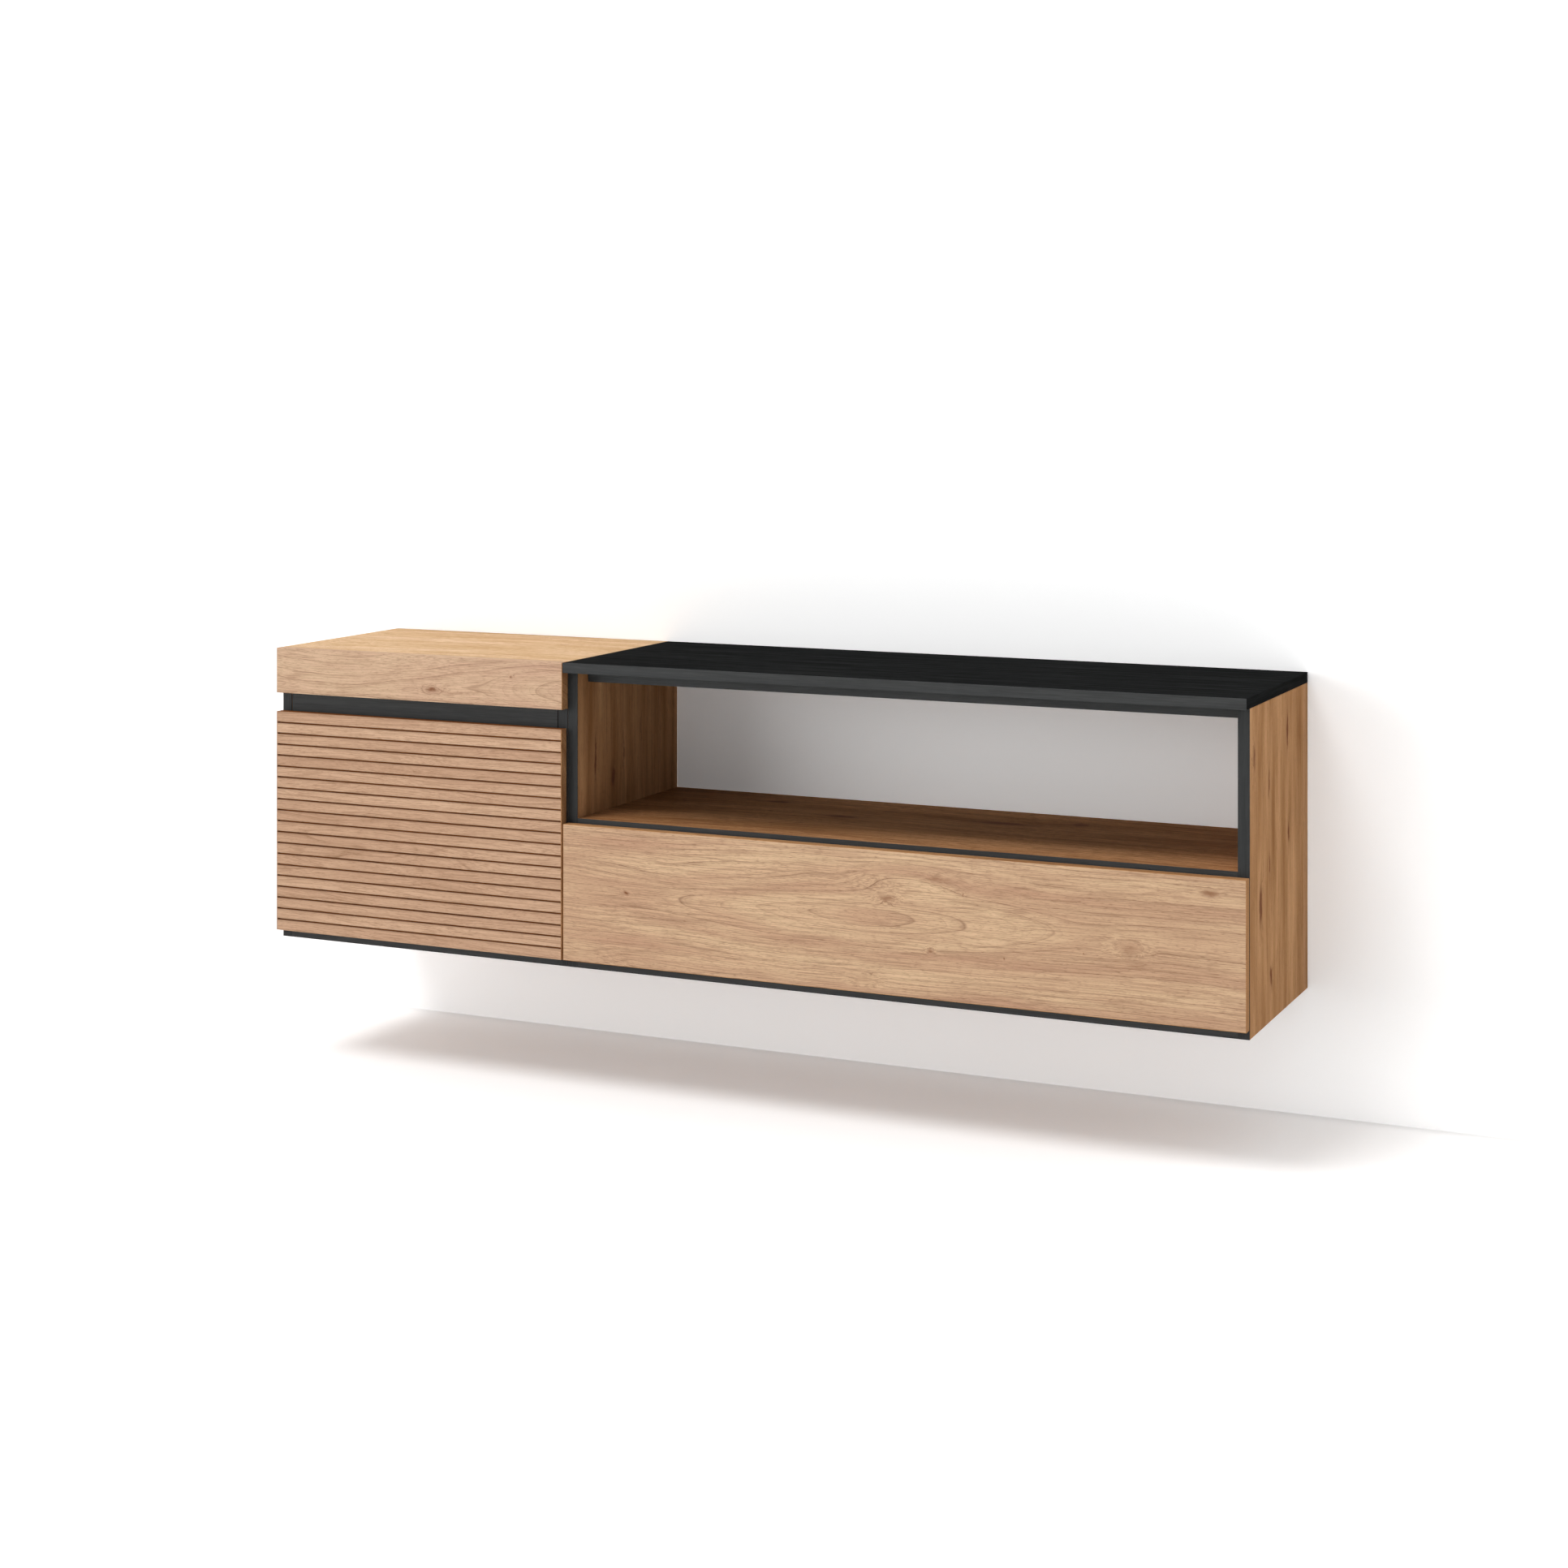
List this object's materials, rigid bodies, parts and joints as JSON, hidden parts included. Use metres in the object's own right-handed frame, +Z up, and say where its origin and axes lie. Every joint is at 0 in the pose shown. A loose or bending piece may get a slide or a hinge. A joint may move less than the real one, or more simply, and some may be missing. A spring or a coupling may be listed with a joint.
{
  "type": "floating media console",
  "caption": "Wall-hung media console: a slatted side-hung door under a fixed fascia, beside an open niche above a drop-down flap, in light oak and black board.",
  "frame": {"origin": "on the wall plane, at the middle of the console's width, level with the underside of the carcasses", "axes": "+X along the wall to the right as seen from the front, +Y into the wall, +Z up"},
  "size_m": [1.53, 0.34, 0.45],
  "materials": {
    "oak_melamine": "light oak grain, matt textured",
    "oak_top": "warm light oak grain, satin",
    "oak_slats": "fine light oak grain, matt",
    "black_melamine": "black fine grain, matt",
    "white_hardboard": "white lacquered hardboard",
    "nickel": "nickel-plated",
    "zinc_steel": "zinc-plated",
    "grey_plastic": "moulded, matt"
  },
  "bodies": {
    "cabinet": {"left_side_panel": "oak_melamine", "left_seam_side_panel": "oak_melamine", "left_bottom_panel": "oak_melamine", "oak_top_panel": "oak_top", "oak_fascia": "oak_melamine", "black_grip_rail": "black_melamine", "left_back_panel": "white_hardboard", "left_shelf": "oak_melamine", "shelf_pin_front_left": "nickel", "shelf_pin_back_left": "nickel", "shelf_pin_front_right": "nickel", "shelf_pin_back_right": "nickel", "left_module_left_hanger": "zinc_steel", "left_module_left_wall_plate": "zinc_steel", "left_module_right_hanger": "zinc_steel", "left_module_right_wall_plate": "zinc_steel", "right_seam_side_panel": "oak_melamine", "right_side_panel": "oak_melamine", "right_bottom_panel": "oak_melamine", "niche_floor_panel": "oak_melamine", "black_top_panel": "black_melamine", "black_niche_rail": "black_melamine", "rear_hanging_rail": "oak_melamine", "lower_back_panel": "white_hardboard", "push_latch_body": "grey_plastic", "right_module_left_hanger": "zinc_steel", "right_module_left_wall_plate": "zinc_steel", "right_module_right_hanger": "zinc_steel", "right_module_right_wall_plate": "zinc_steel", "joining_bolt_1": "nickel", "joining_bolt_2": "nickel", "door_hinge_lower_arm": "nickel", "door_hinge_lower_plate": "nickel", "door_hinge_upper_arm": "nickel", "door_hinge_upper_plate": "nickel", "flap_hinge_left_arm": "nickel", "flap_hinge_left_plate": "nickel", "flap_hinge_middle_arm": "nickel", "flap_hinge_middle_plate": "nickel", "flap_hinge_right_arm": "nickel", "flap_hinge_right_plate": "nickel", "stay_left_cabinet_bracket": "zinc_steel", "stay_right_cabinet_bracket": "zinc_steel"},
    "door": {"slatted_door": "oak_slats", "door_hinge_lower_cup": "nickel", "door_hinge_upper_cup": "nickel"},
    "flap": {"drop_flap": "oak_melamine", "flap_hinge_left_cup": "nickel", "flap_hinge_middle_cup": "nickel", "flap_hinge_right_cup": "nickel", "push_latch_strike": "zinc_steel", "stay_left_flap_bracket": "zinc_steel", "stay_right_flap_bracket": "zinc_steel"},
    "stay_left_rod": {"stay_left_rod": "zinc_steel"},
    "stay_left_guide": {"stay_left_guide": "grey_plastic"},
    "stay_right_rod": {"stay_right_rod": "zinc_steel"},
    "stay_right_guide": {"stay_right_guide": "grey_plastic"},
    "latch_plunger": {"push_latch_plunger": "nickel"}
  },
  "joints": [
    {"name": "door_hinge", "type": "hinge", "parent": "cabinet", "child": "door", "pos_m": [-0.7595, -0.3324, 0.18], "axis": [0, 0, -1], "range_deg": [0, 95]},
    {"name": "flap_hinge", "type": "hinge", "parent": "cabinet", "child": "flap", "pos_m": [0.2535, -0.3324, 0.0185], "axis": [1, 0, 0], "range_deg": [0, 90]},
    {"name": "stay_left_pin", "type": "hinge", "parent": "flap", "child": "stay_left_rod", "pos_m": [-0.2315, -0.3114, 0.11627], "axis": [1, 0, 0], "range_deg": [-45, 0]},
    {"name": "stay_left_swivel", "type": "hinge", "parent": "cabinet", "child": "stay_left_guide", "pos_m": [-0.2315, -0.2824, 0.1051], "axis": [1, 0, 0], "range_deg": [0, 45]},
    {"name": "stay_right_pin", "type": "hinge", "parent": "flap", "child": "stay_right_rod", "pos_m": [0.7385, -0.3114, 0.11627], "axis": [1, 0, 0], "range_deg": [-45, 0]},
    {"name": "stay_right_swivel", "type": "hinge", "parent": "cabinet", "child": "stay_right_guide", "pos_m": [0.7385, -0.2824, 0.1051], "axis": [1, 0, 0], "range_deg": [0, 45]},
    {"name": "latch_slide", "type": "slide", "parent": "cabinet", "child": "latch_plunger", "axis": [0, 1, 0], "range_m": [0, 0.003], "stiffness_N_per_m": 300}
  ],
  "couplings": [
    {"joint": "stay_left_pin", "follows": "flap_hinge", "ratio": -0.5},
    {"joint": "stay_left_swivel", "follows": "flap_hinge", "ratio": 0.5},
    {"joint": "stay_right_pin", "follows": "flap_hinge", "ratio": -0.5},
    {"joint": "stay_right_swivel", "follows": "flap_hinge", "ratio": 0.5}
  ]
}
